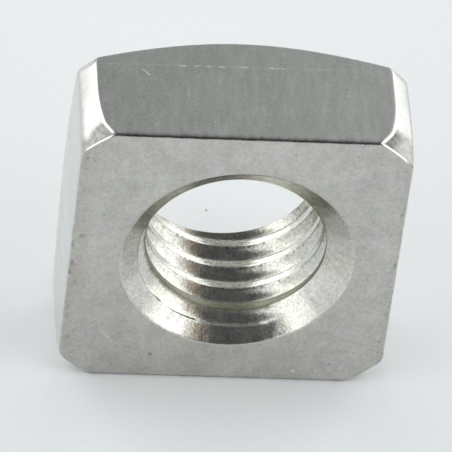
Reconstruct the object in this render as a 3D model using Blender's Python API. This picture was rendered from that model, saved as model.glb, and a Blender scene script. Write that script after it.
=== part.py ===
"""Square nut with a coarse metric thread, standing on one of its four sides.

The thread's axis runs along Y. The bearing face looks along -Y, the crowned face looks
along +Y, and the origin is at the middle of the side that the nut stands on.
All sizes are in metres and all angles in degrees. Depth is the distance behind the
bearing face, and height is the distance above the side that the nut stands on.
"""

import math

import bmesh
import bpy
from mathutils import Matrix, Vector

# Square blank
ACROSS_FLATS = 0.0190
THICKNESS = 0.0085
EDGE_BREAK = 0.00014

# Corners, turned round the blank's middle: each cut is measured along a side from the sharp
# corner. The bearing chamfer takes its share of the way out to the full corner, and an arc over
# a share of the corner's length does the rest.
CORNER_CUT = 0.00098
BEARING_CORNER_CUT = 0.00186
BEARING_CHAMFER_ANGLE = 20.0
BEARING_CHAMFER_SHARE = 0.62
BLEND_SHARE = 0.52

# Crown on the far face: the cone starts this far inside the flats
CROWN_SET_IN = 0.00100
CROWN_ANGLE = 26.0

# Thread: a right-hand M12 x 1.75, cut a little to one side of the blank's middle
THREAD_MAJOR_DIAMETER = 0.0120
THREAD_PITCH = 0.00175
THREAD_HEIGHT_IN_PITCHES = 0.465
ROOT_FLAT_IN_PITCHES = 0.143
FLANK_ANGLE = 30.0
FIRST_CREST_DEPTH = 0.001615
BORE_OFF_CENTRE = 0.00018

# Countersinks: how much wider each mouth is than the thread, and its included angle
FRONT_COUNTERSINK_OVERSIZE = 0.00153
FRONT_COUNTERSINK_ANGLE = 105.0
BACK_COUNTERSINK_OVERSIZE = 0.00035
BACK_COUNTERSINK_ANGLE = 120.0

# Fineness of the round forms
TURNED_STEPS = 180
THREAD_STEPS_PER_TURN = 72
BLEND_STEPS = 4

# How far a cutting shape reaches past the faces that it cuts
CUT_MARGIN = 0.0010

# Edges shorter than this are left over from a cut, and corners sharper than this stay crisp
SHORTEST_EDGE = 0.000002
CRISP_ANGLE = 12.0

# Stainless steel
STEEL_COLOUR = (0.56, 0.55, 0.52, 1.0)
STEEL_ROUGHNESS = 0.32

HALF_WIDTH = ACROSS_FLATS / 2
FACE_Y = -THICKNESS / 2


def clear_scene():
    """Remove whatever the scene holds."""
    for thing in list(bpy.data.objects):
        bpy.data.objects.remove(thing, do_unlink=True)


def link_mesh(shape, name):
    """Turn a bmesh into an object with its faces pointing out."""
    bmesh.ops.recalc_face_normals(shape, faces=shape.faces)
    mesh = bpy.data.meshes.new(name)
    shape.to_mesh(mesh)
    shape.free()
    thing = bpy.data.objects.new(name, mesh)
    bpy.context.scene.collection.objects.link(thing)
    return thing


def make_blank():
    """Square bar cut to length, with the edges of its bearing face broken.

    It is longer than the nut at the back, where the turned envelope ends it.
    """
    length = THICKNESS + CUT_MARGIN
    shape = bmesh.new()
    bmesh.ops.create_cube(shape, size=1.0)
    bmesh.ops.scale(shape, vec=(ACROSS_FLATS, length, ACROSS_FLATS), verts=shape.verts)
    bmesh.ops.translate(shape, vec=(0, FACE_Y + length / 2, HALF_WIDTH), verts=shape.verts)
    front = min(shape.faces, key=lambda face: face.calc_center_median().y)
    bmesh.ops.bevel(shape, geom=list(front.edges), offset=EDGE_BREAK, segments=1, affect="EDGES")
    return link_mesh(shape, "square_nut")


def turn(profile, name, steps, centre_x):
    """Revolve (radius, depth) points that start and end on the thread's axis.

    The result is turned on by half a step, so its edges fall between those of its neighbours.
    """
    shape = bmesh.new()
    axis_point = Vector((centre_x, 0, HALF_WIDTH))
    points = [shape.verts.new((centre_x, FACE_Y + depth, HALF_WIDTH - radius)) for radius, depth in profile]
    edges = [shape.edges.new(pair) for pair in zip(points, points[1:])]
    bmesh.ops.spin(
        shape, geom=points + edges, cent=axis_point, axis=(0, 1, 0),
        angle=math.tau, steps=steps, use_merge=True, use_duplicate=False,
    )
    bmesh.ops.remove_doubles(shape, verts=shape.verts, dist=SHORTEST_EDGE)
    half_step = Matrix.Rotation(math.pi / steps, 3, "Y")
    bmesh.ops.rotate(shape, verts=shape.verts, cent=axis_point, matrix=half_step)
    return link_mesh(shape, name)


def blend_points(start_radius, start_depth, end_radius, length):
    """Arc that leaves the chamfer's end and lies down tangent to the turned corner."""
    rise = end_radius - start_radius
    arc_radius = (rise * rise + length * length) / (2 * rise)
    sweep = math.asin(length / arc_radius)
    points = []
    for step in range(1, BLEND_STEPS + 1):
        left = sweep * (1 - step / BLEND_STEPS)
        radius = end_radius - arc_radius * (1 - math.cos(left))
        points.append((radius, start_depth + length - arc_radius * math.sin(left)))
    return points


def make_turned_envelope():
    """Everything that a lathe leaves of the blank: bearing chamfer, round corners and crown."""
    corner_radius = math.hypot(HALF_WIDTH, HALF_WIDTH - CORNER_CUT)
    bearing_radius = math.hypot(HALF_WIDTH, HALF_WIDTH - BEARING_CORNER_CUT)
    crown_radius = HALF_WIDTH - CROWN_SET_IN
    chamfer_slope = math.tan(math.radians(BEARING_CHAMFER_ANGLE))

    chamfer_radius = bearing_radius + BEARING_CHAMFER_SHARE * (corner_radius - bearing_radius)
    chamfer_depth = (chamfer_radius - bearing_radius) / chamfer_slope
    crown_drop = (corner_radius - crown_radius) * math.tan(math.radians(CROWN_ANGLE))
    crown_depth = THICKNESS - crown_drop
    blend_length = BLEND_SHARE * (crown_depth - chamfer_depth)

    profile = [
        (0, -CUT_MARGIN),
        (bearing_radius - EDGE_BREAK - CUT_MARGIN, -CUT_MARGIN),
        (bearing_radius + EDGE_BREAK * chamfer_slope, EDGE_BREAK),
        (chamfer_radius, chamfer_depth),
    ]
    profile += blend_points(chamfer_radius, chamfer_depth, corner_radius, blend_length)
    profile += [(corner_radius, crown_depth), (crown_radius, THICKNESS), (0, THICKNESS)]
    return turn(profile, "turned_envelope", TURNED_STEPS, 0)


def make_countersink(name, mouth_depth, inward, oversize, included_angle):
    """Cone that opens the thread at one face; inward is +1 at the front and -1 at the back."""
    slope = math.tan(math.radians(included_angle / 2))
    mouth_radius = (THREAD_MAJOR_DIAMETER + oversize) / 2
    profile = [
        (0, mouth_depth - inward * CUT_MARGIN),
        (mouth_radius + CUT_MARGIN * slope, mouth_depth - inward * CUT_MARGIN),
        (0, mouth_depth + inward * mouth_radius / slope),
    ]
    return turn(profile, name, 2 * THREAD_STEPS_PER_TURN, BORE_OFF_CENTRE)


def thread_ridge():
    """One pitch of the bore's section: (radius, advance) where crest, flanks and root meet."""
    root_radius = THREAD_MAJOR_DIAMETER / 2
    height = THREAD_HEIGHT_IN_PITCHES * THREAD_PITCH
    flank = height * math.tan(math.radians(FLANK_ANGLE))
    root_flat = ROOT_FLAT_IN_PITCHES * THREAD_PITCH
    crest_flat = THREAD_PITCH - root_flat - 2 * flank
    crest_radius = root_radius - height
    return [
        (crest_radius, -crest_flat / 2),
        (crest_radius, crest_flat / 2),
        (root_radius, crest_flat / 2 + flank),
        (root_radius, crest_flat / 2 + flank + root_flat),
    ]


def make_tap():
    """Solid of the threaded hole, longer than the nut is thick at both ends.

    Each step holds one pitch of the section. The last point of a turn joins the first point
    of the next, so a single helical skin winds from end to end, and a cap closes each end.
    """
    ridge = thread_ridge()
    turn_steps = THREAD_STEPS_PER_TURN
    turns_before = math.ceil((FIRST_CREST_DEPTH + CUT_MARGIN) / THREAD_PITCH) + 1
    turns = turns_before + math.ceil((THICKNESS + CUT_MARGIN - FIRST_CREST_DEPTH) / THREAD_PITCH) + 1
    last = turns * turn_steps
    shape = bmesh.new()

    def place(step, radius, advance):
        angle = math.tau * (step % turn_steps) / turn_steps
        depth = FIRST_CREST_DEPTH + advance + THREAD_PITCH * (step / turn_steps - turns_before)
        return shape.verts.new((
            BORE_OFF_CENTRE - radius * math.sin(angle),
            FACE_Y + depth,
            HALF_WIDTH - radius * math.cos(angle),
        ))

    lead = [place(step, *ridge[0]) for step in range(last + turn_steps + 1)]
    rest = [[place(step, *point) for point in ridge[1:]] for step in range(last + 1)]

    def section(step):
        return [lead[step], *rest[step], lead[step + turn_steps]]

    for step in range(last):
        here, ahead = section(step), section(step + 1)
        for side in range(len(ridge)):
            shape.faces.new((here[side], ahead[side], ahead[side + 1], here[side + 1]))
    for step in (0, last):
        middle = place(step, 0, ridge[0][1])
        rim = lead[step:step + turn_steps + 1]
        for pair in zip(rim, rim[1:]):
            shape.faces.new((middle, *pair))
        shape.faces.new((middle, *section(step)))
    return link_mesh(shape, "tap")


def cut_with(thing, tool, operation):
    """Add an exact Boolean with a tool that stays out of sight."""
    tool.display_type = "WIRE"
    tool.hide_render = True
    modifier = thing.modifiers.new(tool.name, "BOOLEAN")
    modifier.operation = operation
    modifier.solver = "EXACT"
    modifier.object = tool


def settle(thing):
    """Make the cuts permanent, clear their leftovers and shade the round faces smooth."""
    tools = [modifier.object for modifier in thing.modifiers]
    evaluated = thing.evaluated_get(bpy.context.evaluated_depsgraph_get())
    mesh = bpy.data.meshes.new_from_object(evaluated)
    thing.modifiers.clear()
    for tool in tools:
        bpy.data.objects.remove(tool, do_unlink=True)

    shape = bmesh.new()
    shape.from_mesh(mesh)
    bmesh.ops.dissolve_degenerate(shape, dist=SHORTEST_EDGE, edges=shape.edges)
    shape.to_mesh(mesh)
    shape.free()
    mesh.name = thing.name
    mesh.shade_smooth()
    mesh.set_sharp_from_angle(angle=math.radians(CRISP_ANGLE))
    thing.data = mesh


def steel_material():
    """Plain stainless steel, bright and slightly satin."""
    material = bpy.data.materials.new("stainless_steel")
    material.use_nodes = True
    shader = material.node_tree.nodes["Principled BSDF"]
    shader.inputs["Base Color"].default_value = STEEL_COLOUR
    shader.inputs["Metallic"].default_value = 1.0
    shader.inputs["Roughness"].default_value = STEEL_ROUGHNESS
    return material


def main():
    clear_scene()
    front_countersink = make_countersink(
        "front_countersink", 0, 1, FRONT_COUNTERSINK_OVERSIZE, FRONT_COUNTERSINK_ANGLE
    )
    back_countersink = make_countersink(
        "back_countersink", THICKNESS, -1, BACK_COUNTERSINK_OVERSIZE, BACK_COUNTERSINK_ANGLE
    )
    nut = make_blank()
    cut_with(nut, make_turned_envelope(), "INTERSECT")
    cut_with(nut, make_tap(), "DIFFERENCE")
    cut_with(nut, front_countersink, "DIFFERENCE")
    cut_with(nut, back_countersink, "DIFFERENCE")
    settle(nut)
    nut.data.materials.append(steel_material())


main()
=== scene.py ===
"""Looks of the square nut: one finely rounded steel piece, standing on a pale floor.

The frame's axes hold here too: +Y runs from the bearing face to the crowned face, and +Z is up.
Lengths are in metres and angles in degrees, unless a name says otherwise. Depth is the distance
behind the bearing face, and a station is a direction round the nut's middle.
"""

import math

import bpy
import numpy as np
from mathutils import Matrix, Vector


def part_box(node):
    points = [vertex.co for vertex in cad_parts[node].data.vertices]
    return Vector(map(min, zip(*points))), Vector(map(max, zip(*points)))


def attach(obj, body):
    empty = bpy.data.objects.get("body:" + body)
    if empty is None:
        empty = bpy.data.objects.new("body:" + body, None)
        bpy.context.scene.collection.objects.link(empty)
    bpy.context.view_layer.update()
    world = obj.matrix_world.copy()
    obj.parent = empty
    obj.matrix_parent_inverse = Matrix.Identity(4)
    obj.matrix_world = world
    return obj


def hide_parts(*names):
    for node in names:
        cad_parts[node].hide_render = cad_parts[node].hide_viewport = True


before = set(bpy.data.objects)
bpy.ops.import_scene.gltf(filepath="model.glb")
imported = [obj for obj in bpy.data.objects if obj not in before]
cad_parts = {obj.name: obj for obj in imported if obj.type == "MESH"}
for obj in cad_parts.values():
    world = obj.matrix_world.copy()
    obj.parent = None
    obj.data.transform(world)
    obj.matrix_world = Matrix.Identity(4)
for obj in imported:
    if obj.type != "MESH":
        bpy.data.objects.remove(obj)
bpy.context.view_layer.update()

MM = 0.001
NODE = "square_nut"

# Blank, from the frame
LOW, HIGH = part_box(NODE)
ACROSS_FLATS = HIGH.x - LOW.x
THICKNESS = HIGH.y - LOW.y
HALF_WIDTH = ACROSS_FLATS / 2
FACE_Y = LOW.y
MIDDLE_Z = (LOW.z + HIGH.z) / 2

# Corners and crown
EDGE_BREAK = 0.14 * MM
CORNER_CUT = 0.98 * MM
BEARING_CORNER_CUT = 1.86 * MM
BEARING_CHAMFER_ANGLE = 20
BEARING_CHAMFER_SHARE = 0.62
BLEND_SHARE = 0.52
CROWN_SET_IN = 1.00 * MM
CROWN_ANGLE = 26

# Thread and countersinks
THREAD_MAJOR_RADIUS = 6.0 * MM
THREAD_PITCH = 1.75 * MM
THREAD_HEIGHT = 0.465 * THREAD_PITCH
ROOT_FLAT = 0.143 * THREAD_PITCH
FLANK_ANGLE = 30
FIRST_CREST_DEPTH = 1.615 * MM
BORE_OFF_CENTRE = 0.18 * MM
FRONT_MOUTH_RADIUS = THREAD_MAJOR_RADIUS + 0.765 * MM
FRONT_COUNTERSINK_ANGLE = 105
BACK_MOUTH_RADIUS = THREAD_MAJOR_RADIUS + 0.175 * MM
BACK_COUNTERSINK_ANGLE = 120

# The round corners lean in a little before they meet the crown
BACK_LEAN = 0.07 * MM
BACK_LEAN_DEPTH = 5.85 * MM

# The bearing chamfer was turned a little out of true: off the middle and narrower than it is tall.
# Both fade with depth.
CHAMFER_OFF_CENTRE = (-0.12 * MM, 0.0)
CHAMFER_OVAL = 0.036
CHAMFER_FADE = 0.9 * MM

# How softly the edges turn
OUTER_ROUNDING = 0.09 * MM
LEFT_EASE = (0.09 * MM, 0.30 * MM)
RIGHT_EASE = (0.03 * MM, 0.12 * MM)
EASE_FADE = 0.8 * MM
FACE_ROUNDING = 0.10 * MM
MOUTH_ROUNDING = 0.08 * MM
THREAD_ROUNDING = 0.035 * MM
GROOVE_ROUNDING = 0.80 * MM
GROOVE_RADIUS = 6.10 * MM

# Waves along the broken edge: wavelength and height
EDGE_WAVES = ((2.9 * MM, 0.010 * MM), (1.3 * MM, 0.012 * MM), (0.75 * MM, 0.010 * MM))

# Fineness of the mesh: the first gap beside an edge, and the widest gap between two edges
SIDE_GAPS = (0.03 * MM, 0.24 * MM)
CORNER_COLUMNS = 12
RING_GAPS = (0.03 * MM, 0.45 * MM)
GAP_GROWTH = 1.45
PROJECTION_STEPS = 5
PROBE = 0.0001 * MM
LEAST_SLOPE_SQUARED = 0.05

# Down the bore: marks on a crest's half and a flank, gaps at both rims and inside the front cone,
# and the step at which the profile is read
CREST_MARK = 0.45
FLANK_MARKS = (0.22, 0.40, 0.56, 0.70, 0.84, 0.98)
RIM_GAPS = (0.03 * MM, 0.12 * MM)
FRONT_RIM = 0.5 * MM
BACK_RIM = 0.4 * MM
CONE_MARKS = (0.6 * MM, 1.2 * MM, 0.12 * MM)
CLOSEST_DEPTHS = 0.016 * MM
PROFILE_STEP = 0.005 * MM

# Camera
CAMERA_AIM = (-0.75 * MM, FACE_Y, 12.21 * MM)
CAMERA_AZIMUTH = 8.62
CAMERA_ELEVATION = 43.03
CAMERA_ROLL = 7.81
CAMERA_DISTANCE = 391.1 * MM
CAMERA_LENS = 546.7
SENSOR_WIDTH = 36

# Floor
FLOOR_RADIUS = 105 * MM
FLOOR_EDGES = 96
FLOOR_COLOUR = (0.900, 0.933, 0.948)
# Painted light: the floor's front is painted lighter than its back
FLOOR_FRONT_PAINTED_LIGHT = 1.06
FLOOR_SPECK = (0.1 * MM, 10.0 * MM, 0)
BACKDROP_COLOUR = (0.84, 0.87, 0.885)

# Tent of light round the nut. Bearings are degrees from the front, where the camera looks in. The
# walls' front edges are given at three elevations, and their back edges at two. A pair named RISE
# is the elevations between which a value changes.
WALL_LIGHT = 1.84
WALL_TOP = 54.5
WALL_MIDDLE = 24
WALL_LOW = 11
WALL_BOTTOM = -9.5
WALL_EDGE = 2.0
WALL_BACK_RISE = (4, 30)
FOOT_RISE = (-1, 12)
LEFT_WALL_FRONT = (18, 40, 42)
LEFT_WALL_FRONT_EDGE = 14
LEFT_WALL_BACK = (144, 155.5)
LEFT_FOOT_LIGHT = 1.1
RIGHT_WALL_FRONT = (29, 35, 42)
RIGHT_WALL_FRONT_EDGE = 8
RIGHT_WALL_BACK = (148, 149.5)
RIGHT_FOOT_LIGHT = 1.5
FRONT_LIGHT = (0.094, 0.096, 0.100)
BACK_LIGHT = (0.50, 0.51, 0.49)
LOW_LIGHT = (0.98, 1.0, 1.0)
LOW_RISE = (5, -3)
TOP_LIGHT = (0.24, 0.24, 0.24)
TOP_RISE = (44, 58)

# Narrow warm strip beside the right wall
WARM_LIGHT = (0.36, 0.28, 0.20)
WARM_BEARINGS = (22, 31)
WARM_RISE = (10, 34)
WARM_SIDES = (7, 2.5)
WARM_FOOT = (-5, 3)
WARM_TOP = (40, 28)

# Steels
FACE_COLOUR = (0.575, 0.563, 0.542)
FACE_TINTS = ((0.568, 0.564, 0.522), (0.582, 0.560, 0.550))
WORN_COLOUR = (0.49, 0.46, 0.41)
SIDE_COLOUR = (0.55, 0.567, 0.553)
CORNER_COLOUR = (0.66, 0.665, 0.635)
COUNTERSINK_COLOUR = (0.725, 0.715, 0.685)
THREAD_COLOUR = (0.715, 0.715, 0.67)
OLIVE = (0.67, 0.67, 0.59)
OLD_OIL = (0.31, 0.315, 0.245)
# Torn skin on the bearing chamfer: dull steel whose dark colour is partly painted shade
TORN_SHADE = (0.335, 0.49)

# Marks left by handling, in millimetres. On the bearing face: across, above the middle, radius and
# shade. On the upper side: across, depth, radius and shade.
FACE_SPOTS = (
    (-4.14, -7.69, 0.15, -0.40), (9.07, -6.10, 0.13, -0.35), (6.36, -8.05, 0.10, -0.35),
    (5.84, -0.16, 0.10, -0.30), (4.30, -8.70, 0.18, 0.30), (5.60, -8.66, 0.15, 0.26),
    (9.11, -6.95, 0.11, -0.30), (9.20, -5.10, 0.08, -0.25), (-9.07, 7.62, 0.14, -0.28),
    (-9.08, 5.14, 0.10, -0.25), (-9.07, 4.36, 0.10, -0.28), (-8.89, 3.59, 0.09, -0.22),
)
SIDE_SPOTS = (
    (-1.97, 1.32, 0.09, 0.40), (1.09, 1.23, 0.08, 0.40),
    (5.80, 3.90, 0.16, 0.20), (-6.44, 5.19, 0.12, 0.15),
)
SIDE_TICKS = ((-3.33, 3.35, 3.95), (-5.95, 2.30, 2.85), (-2.75, 4.60, 5.30))

# Line that a tool left across the upper side: its depth at both ends, and its bright dashes
WITNESS_ENDS = ((-8.3, 5.94), (7.8, 6.06))
WITNESS_DASHES = (
    (-3.83, -3.26), (-2.92, -2.63), (-2.23, -1.94), (-1.54, -1.08),
    (-0.51, 0.24), (1.39, 2.31), (2.54, 2.71),
)


def tangent(angle):
    return math.tan(math.radians(angle))


def gaps_from_both_ends(length, first, widest):
    """Positions from 0 to length, close together at both ends and evenly apart between them."""
    half = [0.0]
    gap = first
    while half[-1] + gap < length / 2:
        half.append(half[-1] + gap)
        gap = min(gap * GAP_GROWTH, widest)
    positions = np.array(half)
    return np.concatenate([positions, (length - positions)[::-1]])


def smooth_max(first, second, rounding):
    """Larger of two fields, with the edge between them rounded off over about that width."""
    overlap = np.maximum(rounding - np.abs(first - second), 0) / rounding
    return np.maximum(first, second) + overlap * overlap * rounding / 4


def smooth_min(first, second, rounding):
    return -smooth_max(-first, -second, rounding)


# Turned envelope

CORNER_RADIUS = math.hypot(HALF_WIDTH, HALF_WIDTH - CORNER_CUT)
BEARING_RADIUS = math.hypot(HALF_WIDTH, HALF_WIDTH - BEARING_CORNER_CUT)
CROWN_RADIUS = HALF_WIDTH - CROWN_SET_IN
CHAMFER_RADIUS = BEARING_RADIUS + BEARING_CHAMFER_SHARE * (CORNER_RADIUS - BEARING_RADIUS)
CHAMFER_DEPTH = (CHAMFER_RADIUS - BEARING_RADIUS) / tangent(BEARING_CHAMFER_ANGLE)
CROWN_START = THICKNESS - (CORNER_RADIUS - CROWN_RADIUS) * tangent(CROWN_ANGLE)
BLEND_LENGTH = BLEND_SHARE * (CROWN_START - CHAMFER_DEPTH)


def turned_radius(depth):
    """Radius of the bearing chamfer, the blend and the straight corner at a depth."""
    rise = CORNER_RADIUS - CHAMFER_RADIUS
    arc_radius = (rise * rise + BLEND_LENGTH * BLEND_LENGTH) / (2 * rise)
    chamfer = BEARING_RADIUS + depth * tangent(BEARING_CHAMFER_ANGLE)
    left = np.clip(CHAMFER_DEPTH + BLEND_LENGTH - depth, 0, BLEND_LENGTH)
    blend = CORNER_RADIUS - arc_radius + np.sqrt(arc_radius * arc_radius - left * left)
    lean = np.clip((depth - BACK_LEAN_DEPTH) / (CROWN_START - BACK_LEAN_DEPTH), 0, 1)
    return np.where(depth < CHAMFER_DEPTH, chamfer, blend - BACK_LEAN * lean * lean)


def out_of_true(depth):
    """Centre and stretch of the turned outline at a depth, across and upwards."""
    share = np.exp(-depth / CHAMFER_FADE)
    centre = (CHAMFER_OFF_CENTRE[0] * share, CHAMFER_OFF_CENTRE[1] * share)
    return centre, (1 - CHAMFER_OVAL * share, 1 + CHAMFER_OVAL * share)


def turned_distance(x, depth, z):
    """Distance from the turning axis, measured as the chamfer's cut was."""
    centre, stretch = out_of_true(depth)
    return np.hypot((x - centre[0]) * stretch[0], (z - centre[1]) * stretch[1])


def crown_depth(radius):
    """Depth of the crown's cone at a radius."""
    return THICKNESS - (radius - CROWN_RADIUS) * tangent(CROWN_ANGLE)


def edge_wave(along):
    """How much wider the broken edge is at a place along it."""
    return sum(height * np.sin(math.tau * along / length) for length, height in EDGE_WAVES)


def outside_field(points):
    """Signed distance, roughly, to the nut without its bore: negative inside."""
    x, depth, z = points.T
    radius = np.hypot(x, z)
    crown = math.radians(CROWN_ANGLE)
    turned = turned_distance(x, depth, z)
    field = (turned - turned_radius(depth)) * math.cos(math.radians(BEARING_CHAMFER_ANGLE))
    cone = (depth - crown_depth(radius)) * math.cos(crown)
    field = smooth_max(field, cone, OUTER_ROUNDING)
    fading = np.exp(-depth / EASE_FADE)
    right = OUTER_ROUNDING + RIGHT_EASE[0] + RIGHT_EASE[1] * fading
    left = OUTER_ROUNDING + LEFT_EASE[0] + LEFT_EASE[1] * fading
    for across, along, rounding in (
        (x, z, right), (-x, z, left), (z, x, OUTER_ROUNDING), (-z, x, OUTER_ROUNDING)
    ):
        side = across - HALF_WIDTH
        broken_edge = (side - depth + EDGE_BREAK + edge_wave(along + across)) / math.sqrt(2)
        field = smooth_max(field, side, rounding)
        field = smooth_max(field, broken_edge, OUTER_ROUNDING)
    field = smooth_max(field, -depth, FACE_ROUNDING)
    return smooth_max(field, depth - THICKNESS, OUTER_ROUNDING)


# Bore

CREST_RADIUS = THREAD_MAJOR_RADIUS - THREAD_HEIGHT
FLANK_LENGTH = THREAD_HEIGHT * tangent(FLANK_ANGLE)
CREST_HALF = (THREAD_PITCH - ROOT_FLAT) / 2 - FLANK_LENGTH


def thread_phase(turn, depth):
    """Distance along the axis to the nearest crest's middle."""
    along = depth - FIRST_CREST_DEPTH - THREAD_PITCH * turn
    return along - THREAD_PITCH * np.round(along / THREAD_PITCH)


def hole_radii(turn, depth):
    """Radii of the thread, the front and the back countersink; turn runs from 0 to 1 clockwise
    from the bottom."""
    beyond_crest = np.abs(thread_phase(turn, depth)) - CREST_HALF
    flank = CREST_RADIUS + beyond_crest / tangent(FLANK_ANGLE)
    thread = smooth_max(flank, np.full_like(flank, CREST_RADIUS), THREAD_ROUNDING)
    thread = smooth_min(thread, np.full_like(flank, GROOVE_RADIUS), GROOVE_ROUNDING)
    front = FRONT_MOUTH_RADIUS - depth * tangent(FRONT_COUNTERSINK_ANGLE / 2)
    back = BACK_MOUTH_RADIUS - (THICKNESS - depth) * tangent(BACK_COUNTERSINK_ANGLE / 2)
    return thread, front, back


def bore_radius(turn, depth):
    """Radius of the whole hole, with its edges rounded."""
    thread, front, back = hole_radii(turn, depth)
    return smooth_max(smooth_max(thread, front, THREAD_ROUNDING), back, THREAD_ROUNDING)


def bore_field(points):
    """Signed distance, roughly, to the metal round the bore: positive in the hole."""
    x, depth, z = points.T
    across = x - BORE_OFF_CENTRE
    turn = np.arctan2(-across, -z) / math.tau
    slope = tangent(FRONT_COUNTERSINK_ANGLE / 2)
    return (bore_radius(turn, depth) - np.hypot(across, z)) / math.hypot(1, slope)


def nut_field(points):
    return smooth_max(outside_field(points), bore_field(points), MOUTH_ROUNDING)


def settle_on(field, points):
    """Move points onto the field's zero surface, along its gradient."""
    points = points.copy()
    for _ in range(PROJECTION_STEPS):
        value = field(points)
        gradient = np.empty_like(points)
        for axis in range(3):
            step = np.zeros(3)
            step[axis] = PROBE
            gradient[:, axis] = (field(points + step) - field(points - step)) / (2 * PROBE)
        length_squared = np.maximum((gradient * gradient).sum(axis=1), LEAST_SLOPE_SQUARED)
        points -= (value / length_squared)[:, None] * gradient
    return points


# Mesh

FINISHES = ("face", "side", "corner", "countersink", "thread")


def side_columns():
    """Shares from -1 to 1 across a side."""
    width = 2 * (HALF_WIDTH - CORNER_CUT)
    return gaps_from_both_ends(width, *SIDE_GAPS) / width * 2 - 1


def outer_rows():
    """Shares from 0 to 1 of a side's depth, close together at both ends."""
    return gaps_from_both_ends(CROWN_START, *SIDE_GAPS) / CROWN_START


def outer_row(share):
    """Points once round the outside, that share of the way back from the bearing face."""
    depth = share * CROWN_START
    columns = side_columns()
    x_top = columns * (HALF_WIDTH - CORNER_CUT)
    arc_depth = crown_depth(np.hypot(x_top, HALF_WIDTH))
    side_depth = depth + share * (arc_depth - CROWN_START)
    ends = [side_ends(depth, turn) for turn in range(4)]

    ring = []
    for turn in range(4):
        low, high = ends[turn]
        along = (low + high) / 2 + columns * (high - low) / 2
        next_low = ends[(turn + 1) % 4][0]
        first = math.atan2(high, HALF_WIDTH)
        last = math.pi / 2 - math.atan2(-next_low, HALF_WIDTH)
        shares = np.linspace(0, 1, CORNER_COLUMNS + 1)[1:-1]
        angles = first + shares * (last - first)
        radius = math.hypot(high, HALF_WIDTH) * (1 - shares) + math.hypot(next_low, HALF_WIDTH) * shares
        x = np.concatenate([along, radius * np.sin(angles)])
        y = np.concatenate([side_depth, np.full_like(angles, depth)])
        z = np.concatenate([np.full_like(along, HALF_WIDTH), radius * np.cos(angles)])
        for _ in range(turn):
            x, z = z, -x
        ring.append(np.stack([x, y, z], axis=1))
    return np.concatenate(ring)


def side_ends(depth, turn):
    """Where one side begins and ends at a depth; turn counts quarters clockwise from the upper side."""
    (across, up), (across_stretch, up_stretch) = out_of_true(depth)
    radius = float(turned_radius(np.array(depth)))
    along, out = ((across, up), (-up, across), (-across, -up), (up, -across))[turn]
    stretches = (across_stretch, up_stretch) if turn % 2 == 0 else (up_stretch, across_stretch)
    along_stretch, out_stretch = stretches
    reach = math.sqrt(radius * radius - (out_stretch * (HALF_WIDTH - out)) ** 2) / along_stretch
    return along - reach, along + reach


def circle_like(ring, radius, depth, centre_x):
    """Circle whose points look in the same directions as a ring's, seen from the nut's middle."""
    angle = np.arctan2(ring[:, 0], ring[:, 2])
    return np.stack([
        centre_x + radius * np.sin(angle),
        np.full(len(ring), depth),
        radius * np.cos(angle),
    ], axis=1)


def rings_between(first, last):
    """Rings strictly between two rings, close together beside both."""
    length = np.linalg.norm(last - first, axis=1).mean()
    shares = gaps_from_both_ends(length, *RING_GAPS) / length
    return [first + (last - first) * share for share in shares[1:-1]]


def bore_depths(turn):
    """Depths down one column of the bore: beside each edge of the thread and countersinks."""
    step = THREAD_ROUNDING * 0.6
    marks = []
    for crest in range(-2, 8):
        middle = FIRST_CREST_DEPTH + THREAD_PITCH * (turn + crest)
        marks.append(middle)
        for side in (-1, 1):
            marks += [middle + side * (CREST_HALF + offset) for offset in (-step, 0, step)]
            marks.append(middle + side * CREST_HALF * CREST_MARK)
            marks += [middle + side * (CREST_HALF + FLANK_LENGTH * share) for share in FLANK_MARKS]
        marks.append(middle + THREAD_PITCH / 2)

    fine = np.arange(0, THICKNESS, PROFILE_STEP)
    widest = np.argmax(hole_radii(turn, fine), axis=0)
    meets = fine[1:][np.diff(widest) != 0]
    crossings = [meet + offset for meet in meets for offset in (-step, 0, step)]

    rim = gaps_from_both_ends(THICKNESS, *RIM_GAPS)
    rim = rim[(rim < FRONT_RIM) | (rim > THICKNESS - BACK_RIM)]

    depths = [0.0, THICKNESS]
    for group in (crossings, marks, rim, np.arange(*CONE_MARKS)):
        for depth in group:
            nearest = min(abs(depth - other) for other in depths)
            if 0 < depth < THICKNESS and nearest > CLOSEST_DEPTHS:
                depths.append(depth)
    return np.sort(depths)


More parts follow.
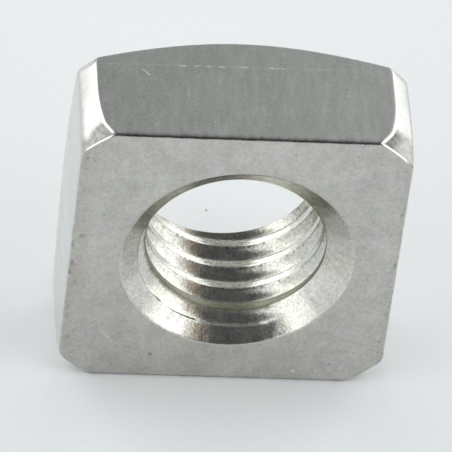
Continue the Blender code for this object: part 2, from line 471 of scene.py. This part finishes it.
def make_nut():
    """One closed mesh: bearing face, outside, crown, crowned face and bore, ring by ring."""
    rows = [outer_row(share) for share in outer_rows()]
    front_edge, arc_edge = rows[0], rows[-1]
    crown_edge = circle_like(arc_edge, CROWN_RADIUS, THICKNESS, 0)
    front_mouth = circle_like(front_edge, FRONT_MOUTH_RADIUS, 0, BORE_OFF_CENTRE)
    back_mouth = circle_like(arc_edge, BACK_MOUTH_RADIUS, THICKNESS, BORE_OFF_CENTRE)

    bands = [
        ("face", [front_mouth, *rings_between(front_mouth, front_edge)]),
        ("side", rows),
        ("corner", rings_between(arc_edge, crown_edge)),
        ("face", [crown_edge, *rings_between(crown_edge, back_mouth), back_mouth]),
    ]
    rings = [ring for _, band in bands for ring in band]
    finish_of_row = [finish for finish, band in bands for _ in band]
    finish_of_row[len(bands[0][1]) + len(rows) - 1] = "corner"
    around = len(front_edge)
    quarter = around // 4
    corner_start = len(side_columns()) - 1
    vertices = [np.concatenate(rings)]
    faces = []
    finishes = []
    for row in range(len(rings) - 1):
        for station in range(around):
            after = (station + 1) % around
            low, high = row * around, (row + 1) * around
            faces.append((low + station, low + after, high + after, high + station))
            at_corner = finish_of_row[row] == "side" and station % quarter >= corner_start
            finishes.append("corner" if at_corner else finish_of_row[row])

    # The bore's columns join the two mouths
    first_back = (len(rings) - 1) * around
    count = len(rings) * around
    columns = []
    for station in range(around):
        x, _, z = front_mouth[station]
        turn = (math.atan2(-(x - BORE_OFF_CENTRE), -z) / math.tau) % 1
        x, _, z = back_mouth[station]
        depths = bore_depths(turn)
        inner = depths[1:-1]
        radius = bore_radius(np.full_like(inner, turn), inner)
        angle = math.tau * turn
        vertices.append(np.stack([
            BORE_OFF_CENTRE - radius * math.sin(angle),
            inner,
            -radius * math.cos(angle),
        ], axis=1))
        columns.append((depths, [station, *range(count, count + len(inner)), first_back + station]))
        count += len(inner)
    for station in range(around):
        here, after = columns[station], columns[(station + 1) % around]
        faces += stitch(here, after)

    points = np.concatenate(vertices)
    bore_faces = np.array(faces[len(finishes):])
    finishes += bore_finishes(points[bore_faces].mean(axis=1))
    shown = settle_on(nut_field, points)
    shown[:, 1] += FACE_Y
    shown[:, 2] += MIDDLE_Z
    mesh = bpy.data.meshes.new("nut_body")
    mesh.from_pydata(shown.tolist(), [], faces)
    mesh.polygons.foreach_set("material_index", [FINISHES.index(finish) for finish in finishes])
    for make_material in (ground_face, drawn_side, turned_corner, countersink, thread):
        mesh.materials.append(make_material())
    mesh.validate()
    mesh.shade_smooth()
    nut = bpy.data.objects.new("nut_body", mesh)
    bpy.context.scene.collection.objects.link(nut)
    return nut


def bore_finishes(middles):
    """Finish of each face of the bore, from the faces' middles."""
    x, depth, z = middles.T
    turn = np.arctan2(-(x - BORE_OFF_CENTRE), -z) / math.tau
    in_thread, front, back = hole_radii(turn, depth)
    return np.where(in_thread > np.maximum(front, back), "thread", "countersink").tolist()


def stitch(here, after):
    """Triangles between two neighbouring columns, which may hold different numbers of points."""
    (depths_a, ids_a), (depths_b, ids_b) = here, after
    a = b = 0
    triangles = []
    while a < len(ids_a) - 1 or b < len(ids_b) - 1:
        gap_a = abs(depths_a[a + 1] - depths_b[b]) if a < len(ids_a) - 1 else math.inf
        gap_b = abs(depths_b[b + 1] - depths_a[a]) if b < len(ids_b) - 1 else math.inf
        if gap_a <= gap_b:
            triangles.append((ids_a[a], ids_a[a + 1], ids_b[b]))
            a += 1
        else:
            triangles.append((ids_a[a], ids_b[b + 1], ids_b[b]))
            b += 1
    return triangles


# Node helpers

class Tree:
    """Short names for the shader nodes used below."""

    def __init__(self, tree):
        self.tree = tree
        tree.nodes.clear()

    def add(self, kind, **settings):
        node = self.tree.nodes.new(kind)
        for name, value in settings.items():
            setattr(node, name, value)
        return node

    def feed(self, socket, value):
        if isinstance(value, bpy.types.NodeSocket):
            self.tree.links.new(value, socket)
        else:
            socket.default_value = value

    def place(self):
        return self.add("ShaderNodeTexCoord").outputs["Object"]

    def parts(self, vector):
        node = self.add("ShaderNodeSeparateXYZ")
        self.feed(node.inputs[0], vector)
        return node.outputs

    def vector(self, x, y, z):
        node = self.add("ShaderNodeCombineXYZ")
        for socket, value in zip(node.inputs, (x, y, z)):
            self.feed(socket, value)
        return node.outputs[0]

    def math(self, operation, first, second=0.0):
        node = self.add("ShaderNodeMath", operation=operation)
        for socket, value in zip(node.inputs, (first, second)):
            self.feed(socket, value)
        return node.outputs[0]

    def vector_math(self, operation, first, second, output="Vector"):
        node = self.add("ShaderNodeVectorMath", operation=operation)
        self.feed(node.inputs[0], first)
        self.feed(node.inputs["Scale" if operation == "SCALE" else 1], second)
        return node.outputs[output]

    def sum(self, *values):
        total = values[0]
        for value in values[1:]:
            total = self.math("ADD", total, value)
        return total

    def times(self, *values):
        product = values[0]
        for value in values[1:]:
            product = self.math("MULTIPLY", product, value)
        return product

    def ramp(self, value, start, end, low=0.0, high=1.0):
        """Value carried smoothly from start..end to low..high, and held at both ends."""
        node = self.add("ShaderNodeMapRange", interpolation_type="SMOOTHSTEP")
        settings = (value, start, end, low, high)
        for name, setting in zip(("Value", "From Min", "From Max", "To Min", "To Max"), settings):
            self.feed(node.inputs[name], setting)
        return node.outputs["Result"]

    def mix(self, share, first, second):
        """Mix of two colours; a colour mix has its own sockets among the node's sockets."""
        node = self.add("ShaderNodeMix", data_type="RGBA")
        for index, value in zip((0, 6, 7), (share, first, second)):
            self.feed(node.inputs[index], value)
        return node.outputs[2]

    def noise(self, place, size, detail=2.0, roughness=0.5):
        """Noise of about 0 to 1 whose largest features have that size."""
        node = self.add("ShaderNodeTexNoise")
        self.feed(node.inputs["Vector"], place)
        node.inputs["Scale"].default_value = 1 / size
        node.inputs["Detail"].default_value = detail
        node.inputs["Roughness"].default_value = roughness
        return node.outputs["Fac"]

    def moved(self, place, factors=(1, 1, 1), offset=(0, 0, 0)):
        node = self.add("ShaderNodeMapping")
        self.feed(node.inputs["Vector"], place)
        node.inputs["Location"].default_value = offset
        node.inputs["Scale"].default_value = factors
        return node.outputs["Vector"]

    def bump(self, *heights):
        """Bump made of heights in millimetres: each is a value of about 0 to 1 and its depth."""
        node = self.add("ShaderNodeBump")
        node.inputs["Strength"].default_value = 1.0
        node.inputs["Distance"].default_value = MM
        self.feed(node.inputs["Height"], self.sum(*(self.times(value, depth) for value, depth in heights)))
        return node.outputs["Normal"]

    def stroke(self, place, start, end, width):
        """1 on the line between two points of the nut, and 0 from a width away from it."""
        line = Vector(end) - Vector(start)
        from_start = self.vector_math("SUBTRACT", place, start)
        along = self.vector_math("DOT_PRODUCT", from_start, line / line.length_squared, "Value")
        share = self.math("MINIMUM", self.math("MAXIMUM", along, 0.0), 1.0)
        nearest = self.vector_math("SCALE", tuple(line), share)
        off = self.vector_math("DISTANCE", from_start, nearest, "Value")
        return self.ramp(off, width, 0.2 * width)

    def spot(self, place, centre, radius):
        off = self.vector_math("DISTANCE", place, centre, "Value")
        return self.ramp(off, radius, 0.4 * radius)


def on_nut(x, depth, z):
    """Point in metres from millimetres across, behind the bearing face and above the middle."""
    return (x * MM, FACE_Y + depth * MM, MIDDLE_Z + z * MM)


def turned_place(tree, place, centre_x, stretch):
    """Coordinates in which noise draws rings round the axis: slow round it and quick along the profile."""
    x, y, z = tree.parts(tree.vector_math("SUBTRACT", place, (centre_x, 0, MIDDLE_Z)))
    radius = tree.math("SQRT", tree.sum(tree.times(x, x), tree.times(z, z)))
    profile = tree.math("ADD", tree.times(radius, 0.8), y)
    round_x = tree.times(tree.math("DIVIDE", x, radius), stretch)
    round_z = tree.times(tree.math("DIVIDE", z, radius), stretch)
    return tree.vector(round_x, profile, round_z)


def metal(name):
    """New metallic material, with its tree and its shader's sockets."""
    material = bpy.data.materials.new(name)
    material.use_nodes = True
    tree = Tree(material.node_tree)
    shader = tree.add("ShaderNodeBsdfPrincipled")
    shader.inputs["Metallic"].default_value = 1.0
    output = tree.add("ShaderNodeOutputMaterial")
    tree.feed(output.inputs["Surface"], shader.outputs["BSDF"])
    return material, tree, shader.inputs


def ground_face():
    """Bearing and crowned face: ground flat, then stained, pitted and scratched in use."""
    material, tree, shader = metal("ground_face")
    place = tree.place()
    x, _, z = tree.parts(place)
    cloud = tree.noise(place, 2.6 * MM, detail=3)
    stain = tree.noise(place, 1.1 * MM, detail=4, roughness=0.6)
    grain = tree.noise(place, 0.22 * MM, detail=2)
    fine = tree.noise(place, 0.10 * MM, detail=2)
    pits = tree.ramp(tree.noise(place, 0.42 * MM, detail=1), 0.70, 0.78)

    # A dark edge above and below, partly a torn edge and partly painted shade, and wear with pits beside
    # the upright edges
    upright = tree.math("ABSOLUTE", tree.math("SUBTRACT", z, MIDDLE_Z))
    edge = tree.ramp(tree.sum(upright, tree.times(grain, 0.14 * MM)), 9.38 * MM, 9.46 * MM)
    near_sides = tree.math("MAXIMUM",
        tree.ramp(x, -8.3 * MM, -9.3 * MM), tree.ramp(x, 8.95 * MM, 9.35 * MM))
    wear = tree.times(near_sides, tree.ramp(stain, 0.42, 0.62))
    edge_pits = tree.times(near_sides, tree.ramp(tree.noise(place, 0.5 * MM, detail=2), 0.60, 0.68))

    scratches = tree.math("MAXIMUM",
        tree.stroke(place, on_nut(-7.2, 0, -5.8), on_nut(-6.45, 0, -6.75), 0.07 * MM),
        tree.stroke(place, on_nut(-6.45, 0, -6.75), on_nut(-5.9, 0, -7.1), 0.05 * MM))
    dark_scratch = tree.stroke(place, on_nut(-6.0, 0, -7.0), on_nut(-4.6, 0, -7.5), 0.05 * MM)
    spots = tree.sum(*(
        tree.times(tree.spot(place, on_nut(x_mm, 0, z_mm), radius * MM), strength)
        for x_mm, z_mm, radius, strength in FACE_SPOTS))

    shade = tree.sum(
        tree.ramp(cloud, 0.3, 0.7, 0.885, 0.965),
        tree.ramp(stain, 0.3, 0.7, -0.07, 0.07),
        tree.ramp(grain, 0.25, 0.75, -0.06, 0.06),
        tree.ramp(fine, 0.25, 0.75, -0.06, 0.06),
        # Painted shade, in part, along the edge above and below
        tree.times(edge, -0.45),
        tree.times(pits, -0.15),
        tree.times(edge_pits, -0.3),
        tree.times(scratches, 0.25),
        tree.times(dark_scratch, -0.16),
        spots,
    )
    olive, violet = FACE_TINTS
    tinting = tree.noise(tree.moved(place, offset=(0.02, 0, 0.01)), 1.8 * MM, detail=2)
    colour = tree.mix(tree.ramp(tinting, 0.62, 0.45), (*FACE_COLOUR, 1), (*olive, 1))
    colour = tree.mix(tree.ramp(tinting, 0.50, 0.68), colour, (*violet, 1))
    colour = tree.mix(wear, colour, (*WORN_COLOUR, 1))
    tree.feed(shader["Base Color"], tree.vector_math("SCALE", colour, shade))
    tree.feed(shader["Roughness"], tree.sum(
        tree.ramp(stain, 0.3, 0.7, 0.34, 0.44), tree.times(pits, 0.1), tree.times(edge, -0.2)))
    tree.feed(shader["Normal"], tree.bump(
        (grain, 0.008), (fine, 0.006), (stain, 0.012), (pits, -0.006), (scratches, -0.008)))
    return material


def drawn_side():
    """Sides of the bar: drawn, so it is even and matt, with short strokes along the axis."""
    material, tree, shader = metal("drawn_side")
    place = tree.place()
    cloud = tree.noise(place, 3.0 * MM, detail=3)
    grain = tree.noise(place, 0.11 * MM, detail=2)
    drawn = tree.noise(tree.moved(place, (1, 0.2, 1)), 0.3 * MM, detail=3)
    ticks = tree.ramp(tree.noise(tree.moved(place, (1, 0.22, 1)), 0.3 * MM, detail=1), 0.73, 0.80)
    freckles = tree.ramp(tree.noise(place, 0.35 * MM, detail=1), 0.72, 0.80)

    # A dark line beside the bearing face, partly a torn edge and partly painted shade, and painted light on
    # the upright sides, in streaks, for the floor that they mirror
    x, y, z = tree.parts(place)
    upright = tree.math("ABSOLUTE", tree.math("SUBTRACT", z, MIDDLE_Z))
    edge = tree.times(
        tree.ramp(tree.sum(y, tree.times(drawn, 0.08 * MM)), FACE_Y + 0.20 * MM, FACE_Y + 0.14 * MM),
        tree.ramp(upright, 9.2 * MM, 9.3 * MM))
    upstanding = tree.ramp(tree.math("ABSOLUTE", x), 9.3 * MM, 9.45 * MM)
    sheen_streaks = tree.noise(tree.moved(place, (1, 0.12, 1)), 0.9 * MM, detail=3)

    # The witness line, a scratch and small nicks on the upper side
    broken = tree.ramp(tree.noise(place, 0.35 * MM, detail=2), 0.35, 0.6, 0.35, 1.0)
    (left_x, left_depth), (right_x, right_depth) = WITNESS_ENDS
    line = tree.stroke(place, on_nut(left_x, left_depth, 9.5), on_nut(right_x, right_depth, 9.5), 0.09 * MM)
    dashes = tree.sum(*(
        tree.times(tree.ramp(x, start * MM, (start + 0.12) * MM), tree.ramp(x, end * MM, (end - 0.12) * MM))
        for start, end in WITNESS_DASHES))
    witness = tree.times(line, broken, tree.sum(0.3, dashes))
    scratch = tree.stroke(place, on_nut(-5.85, 5.56, 9.5), on_nut(-5.5, 5.12, 9.5), 0.07 * MM)
    marks = tree.math("MAXIMUM", witness, scratch)
    nicks = tree.sum(
        *(tree.times(tree.stroke(place, on_nut(x_mm, start, 9.5), on_nut(x_mm, end, 9.5), 0.06 * MM), 0.2)
          for x_mm, start, end in SIDE_TICKS),
        *(tree.times(tree.spot(place, on_nut(x_mm, depth, 9.5), radius * MM), strength)
          for x_mm, depth, radius, strength in SIDE_SPOTS))

    shade = tree.sum(
        tree.ramp(cloud, 0.3, 0.7, 0.89, 0.95),
        # Painted light: darker towards the left and lighter towards the right
        tree.ramp(x, -9 * MM, 9 * MM, -0.06, 0.08),
        # Painted light on the upright sides
        tree.times(upstanding, tree.ramp(sheen_streaks, 0.3, 0.7, 0.29, 0.41)),
        tree.ramp(grain, 0.25, 0.75, -0.10, 0.10),
        tree.ramp(drawn, 0.3, 0.7, -0.03, 0.03),
        # Painted shade, in part, along the edge beside the bearing face
        tree.times(edge, -0.40),
        tree.times(ticks, 0.14),
        tree.times(freckles, 0.10),
        tree.times(marks, 0.42),
        nicks,
    )
    tree.feed(shader["Base Color"], tree.vector_math("SCALE", (*SIDE_COLOUR,), shade))
    tree.feed(shader["Roughness"], tree.sum(
        tree.ramp(drawn, 0.3, 0.7, 0.30, 0.38),
        tree.times(marks, 0.1), tree.times(edge, -0.17), tree.times(upstanding, -0.1)))
    tree.feed(shader["Normal"], tree.bump((grain, 0.004), (drawn, 0.006), (marks, -0.006)))
    return material


def cut_steel(name, base, threaded):
    """Steel cut round the bore's axis: rings, a granular skin and blotches.

    A thread also has dark dents along the edges of its crests, and dull old oil on its first crest.
    """
    material, tree, shader = metal(name)
    place = tree.place()
    x, y, z = tree.parts(tree.vector_math("SUBTRACT", place, (BORE_OFF_CENTRE, FACE_Y, MIDDLE_Z)))
    round_bore = turned_place(tree, place, BORE_OFF_CENTRE, 0.6 * MM)
    rings = tree.noise(round_bore, 0.15 * MM, detail=3, roughness=0.6)
    skin = tree.noise(place, 0.14 * MM, detail=2, roughness=0.6)
    blotch = tree.noise(place, 0.50 * MM, detail=3, roughness=0.55)
    cloud = tree.noise(place, 1.6 * MM, detail=2)

    # Distance along the axis from the nearest crest's middle, and from there to the crest's edge
    turn = tree.times(tree.math("ARCTAN2", tree.times(x, -1.0), tree.times(z, -1.0)), 1 / math.tau)
    pitches = tree.math("SUBTRACT", tree.times(tree.sum(y, -FIRST_CREST_DEPTH), 1 / THREAD_PITCH), turn)
    from_crest = tree.math("ABSOLUTE", tree.sum(tree.math("FRACT", tree.sum(pitches, 0.5)), -0.5))
    from_edge = tree.math("ABSOLUTE", tree.sum(from_crest, -CREST_HALF / THREAD_PITCH))
    dots = tree.times(tree.ramp(from_edge, 0.06, 0.02), tree.ramp(tree.noise(place, 0.3 * MM), 0.56, 0.64))

    tint = tree.mix(tree.ramp(cloud, 0.4, 0.65, 0.1, 0.7), (*base, 1), (*OLIVE, 1))
    roughness = tree.ramp(blotch, 0.3, 0.7, 0.15, 0.21)
    if threaded:
        off_first = tree.math("ABSOLUTE", pitches)
        oil = tree.ramp(tree.sum(off_first, tree.times(blotch, 0.06)), 0.26, 0.20)
        tint = tree.mix(oil, tint, (*OLD_OIL, 1))
        roughness = tree.sum(roughness, tree.times(oil, 0.22))
    shade = tree.sum(
        tree.ramp(blotch, 0.3, 0.7, 0.90, 1.02),
        tree.ramp(rings, 0.3, 0.7, -0.16, 0.08),
        tree.ramp(skin, 0.3, 0.7, -0.15, 0.12),
        tree.ramp(rings, 0.59, 0.70, 0.0, -0.30),
        tree.times(dots, -0.4 if threaded else 0.0),
    )
    tree.feed(shader["Base Color"], tree.vector_math("SCALE", tint, shade))
    tree.feed(shader["Roughness"], roughness)
    tree.feed(shader["Normal"], tree.bump((rings, 0.0045), (skin, 0.0065), (blotch, 0.007)))
    return material


def turned_corner():
    """Corners and crown: smooth, but torn and dull where the bearing chamfer was cut."""
    material, tree, shader = metal("turned_corner")
    place = tree.place()
    x, y, z = tree.parts(place)
    rings = tree.noise(turned_place(tree, place, 0, 0.5 * MM), 0.2 * MM, detail=3, roughness=0.6)
    blotch = tree.noise(place, 0.5 * MM, detail=3, roughness=0.55)
    torn = tree.noise(place, 0.32 * MM, detail=3, roughness=0.6)

    # Torn skin: how far back it reaches changes round the corner, and the right corner has more
    towards_side = tree.math("SUBTRACT", tree.math("ABSOLUTE", x),
        tree.math("ABSOLUTE", tree.math("SUBTRACT", z, MIDDLE_Z)))
    right = tree.ramp(x, -1 * MM, 1 * MM)
    reach = tree.sum(
        tree.ramp(towards_side, -1.9 * MM, 1.9 * MM, 1.05 * MM, 0.45 * MM),
        tree.times(right, tree.ramp(towards_side, -1.2 * MM, 1.2 * MM, 0.20 * MM, 0.75 * MM)))
    beyond = tree.sum(y, tree.times(torn, 0.7 * MM), tree.times(reach, -1.0), -0.15 * MM)
    dull = tree.ramp(beyond, FACE_Y + 0.75 * MM, FACE_Y)

    # Bright edges beside the bearing face and the upper side, kept clear of the torn skin; on the right
    # corner the edge beside the face gets painted shade towards its outer end
    near_face = tree.ramp(y, FACE_Y + 0.13 * MM, FACE_Y + 0.08 * MM)
    upright = tree.math("ABSOLUTE", tree.math("SUBTRACT", z, MIDDLE_Z))
    bright_edge = tree.math("MAXIMUM",
        tree.times(near_face, tree.ramp(towards_side, 1.6 * MM, 0.6 * MM)),
        tree.ramp(upright, 9.36 * MM, 9.42 * MM))
    dull = tree.times(dull, tree.math("SUBTRACT", 1.0, bright_edge))
    # Painted light and shade on the torn skin: lighter towards the outer sides, and on the right corner
    # darker near the upper side
    torn_painted_light = tree.sum(
        tree.ramp(towards_side, -1.2 * MM, 1.4 * MM, 0.0, 0.16),
        tree.times(right, tree.ramp(towards_side, -1.2 * MM, 0.1 * MM, -0.14, 0.10)))
    painted_edge_shade = tree.times(near_face, right, tree.ramp(towards_side, 0.5 * MM, 1.3 * MM))

    clean = tree.sum(
        tree.ramp(blotch, 0.3, 0.7, 0.94, 1.0),
        tree.ramp(rings, 0.3, 0.7, -0.03, 0.03))
    shade = tree.sum(
        tree.times(clean, tree.math("SUBTRACT", 1.0, dull)),
        # Torn skin's colour, partly painted shade, with painted light by place added
        tree.times(dull, tree.sum(torn_painted_light, tree.ramp(torn, 0.35, 0.65, *TORN_SHADE))),
        tree.times(painted_edge_shade, -0.30))
    tree.feed(shader["Base Color"], tree.vector_math("SCALE", CORNER_COLOUR, shade))
    tree.feed(shader["Roughness"], tree.sum(
        tree.ramp(blotch, 0.3, 0.7, 0.12, 0.18), tree.times(dull, 0.28)))
    tree.feed(shader["Normal"], tree.bump(
        (rings, 0.003), (blotch, 0.008), (tree.times(dull, torn), 0.03)))
    return material


def countersink():
    return cut_steel("countersink", COUNTERSINK_COLOUR, threaded=False)


def thread():
    return cut_steel("thread", THREAD_COLOUR, threaded=True)


def make_camera():
    data = bpy.data.cameras.new("camera")
    data.sensor_width = SENSOR_WIDTH
    data.lens = CAMERA_LENS
    camera = bpy.data.objects.new("camera", data)
    azimuth = math.radians(CAMERA_AZIMUTH)
    elevation = math.radians(CAMERA_ELEVATION)
    forward = Vector((
        math.sin(azimuth) * math.cos(elevation),
        math.cos(azimuth) * math.cos(elevation),
        -math.sin(elevation),
    ))
    roll = Matrix.Rotation(math.radians(CAMERA_ROLL), 3, "Z")
    turned = forward.to_track_quat("-Z", "Y").to_matrix() @ roll
    place = Vector(CAMERA_AIM) - forward * CAMERA_DISTANCE
    camera.matrix_world = Matrix.Translation(place) @ turned.to_4x4()
    data.clip_start = CAMERA_DISTANCE / 100
    data.clip_end = CAMERA_DISTANCE * 100
    bpy.context.scene.collection.objects.link(camera)
    bpy.context.scene.camera = camera


def pale_floor():
    """White paper: a faint grain and one dark speck, with painted light that makes the front a little
    lighter than the back.
    """
    material = bpy.data.materials.new("pale_floor")
    material.use_nodes = True
    tree = Tree(material.node_tree)
    shader = tree.add("ShaderNodeBsdfPrincipled")
    place = tree.place()
    _, y, _ = tree.parts(place)
    grain = tree.noise(place, 0.5 * MM, detail=2)
    shade = tree.sum(
        tree.ramp(y, -25 * MM, 25 * MM, FLOOR_FRONT_PAINTED_LIGHT, 1.0),
        tree.ramp(grain, 0.25, 0.75, -0.006, 0.006),
        tree.times(tree.spot(place, FLOOR_SPECK, 0.13 * MM), -0.5),
    )
    tree.feed(shader.inputs["Base Color"], tree.vector_math("SCALE", FLOOR_COLOUR, shade))
    shader.inputs["Roughness"].default_value = 0.6
    output = tree.add("ShaderNodeOutputMaterial")
    tree.feed(output.inputs["Surface"], shader.outputs["BSDF"])
    return material


def make_floor():
    mesh = bpy.data.meshes.new("floor")
    angles = [math.tau * step / FLOOR_EDGES for step in range(FLOOR_EDGES)]
    rim = [(FLOOR_RADIUS * math.cos(angle), FLOOR_RADIUS * math.sin(angle), 0) for angle in angles]
    mesh.from_pydata(rim, [], [tuple(range(FLOOR_EDGES))])
    floor = bpy.data.objects.new("floor", mesh)
    bpy.context.scene.collection.objects.link(floor)
    mesh.materials.append(pale_floor())


def wall_share(tree, bearing, elevation, front, front_edge, back):
    """Share of the light that a direction gets from one side wall of the tent."""
    low, middle, high = front
    start = tree.sum(
        tree.ramp(elevation, WALL_LOW, WALL_MIDDLE, low, middle),
        tree.ramp(elevation, WALL_MIDDLE, WALL_TOP, 0.0, high - middle))
    off_front = tree.math("SUBTRACT", bearing, start)
    off_back = tree.math("SUBTRACT", bearing, tree.ramp(elevation, *WALL_BACK_RISE, *back))
    return tree.times(
        tree.ramp(off_front, -front_edge, front_edge),
        tree.ramp(off_back, WALL_EDGE, -WALL_EDGE),
        tree.ramp(elevation, WALL_TOP + 2 * WALL_EDGE, WALL_TOP - 2 * WALL_EDGE),
        tree.ramp(elevation, WALL_BOTTOM - WALL_EDGE, WALL_BOTTOM + WALL_EDGE),
    )


def make_world():
    """Tent round the nut: lit walls beside it, dark in front, dim above, brighter behind and below."""
    world = bpy.data.worlds.new("tent")
    bpy.context.scene.world = world
    world.use_nodes = True
    tree = Tree(world.node_tree)
    x, y, z = tree.parts(tree.add("ShaderNodeTexCoord").outputs["Generated"])
    bearing = tree.math("DEGREES", tree.math("ARCTAN2", x, tree.times(y, -1.0)))
    elevation = tree.math("DEGREES", tree.math("ARCSINE", z))
    light = tree.mix(tree.ramp(y, -0.2, 0.75), (*FRONT_LIGHT, 1), (*BACK_LIGHT, 1))
    light = tree.mix(tree.ramp(elevation, *TOP_RISE), light, (*TOP_LIGHT, 1))
    light = tree.mix(tree.ramp(elevation, *LOW_RISE), light, (*LOW_LIGHT, 1))
    off_warm = tree.math("SUBTRACT", bearing, tree.ramp(elevation, *WARM_RISE, *WARM_BEARINGS))
    beside = tree.ramp(tree.math("ABSOLUTE", off_warm), *WARM_SIDES)
    low = tree.times(tree.ramp(elevation, *WARM_FOOT), tree.ramp(elevation, *WARM_TOP))
    light = tree.mix(tree.times(beside, low), light, (*WARM_LIGHT, 1))
    for side, foot_light, *limits in (
        (1.0, RIGHT_FOOT_LIGHT, RIGHT_WALL_FRONT, RIGHT_WALL_FRONT_EDGE, RIGHT_WALL_BACK),
        (-1.0, LEFT_FOOT_LIGHT, LEFT_WALL_FRONT, LEFT_WALL_FRONT_EDGE, LEFT_WALL_BACK),
    ):
        share = wall_share(tree, tree.times(bearing, side), elevation, *limits)
        wall = tree.ramp(elevation, *FOOT_RISE, foot_light, WALL_LIGHT)
        light = tree.mix(share, light, tree.vector(wall, wall, wall))
    camera = tree.add("ShaderNodeLightPath").outputs["Is Camera Ray"]
    background = tree.add("ShaderNodeBackground")
    tree.feed(background.inputs["Color"], tree.mix(camera, light, (*BACKDROP_COLOUR, 1)))
    output = tree.add("ShaderNodeOutputWorld")
    tree.feed(output.inputs["Surface"], background.outputs[0])


nut = make_nut()
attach(nut, "root")
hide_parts(NODE)
make_camera()
make_floor()
make_world()
bpy.context.scene.view_settings.view_transform = "Standard"
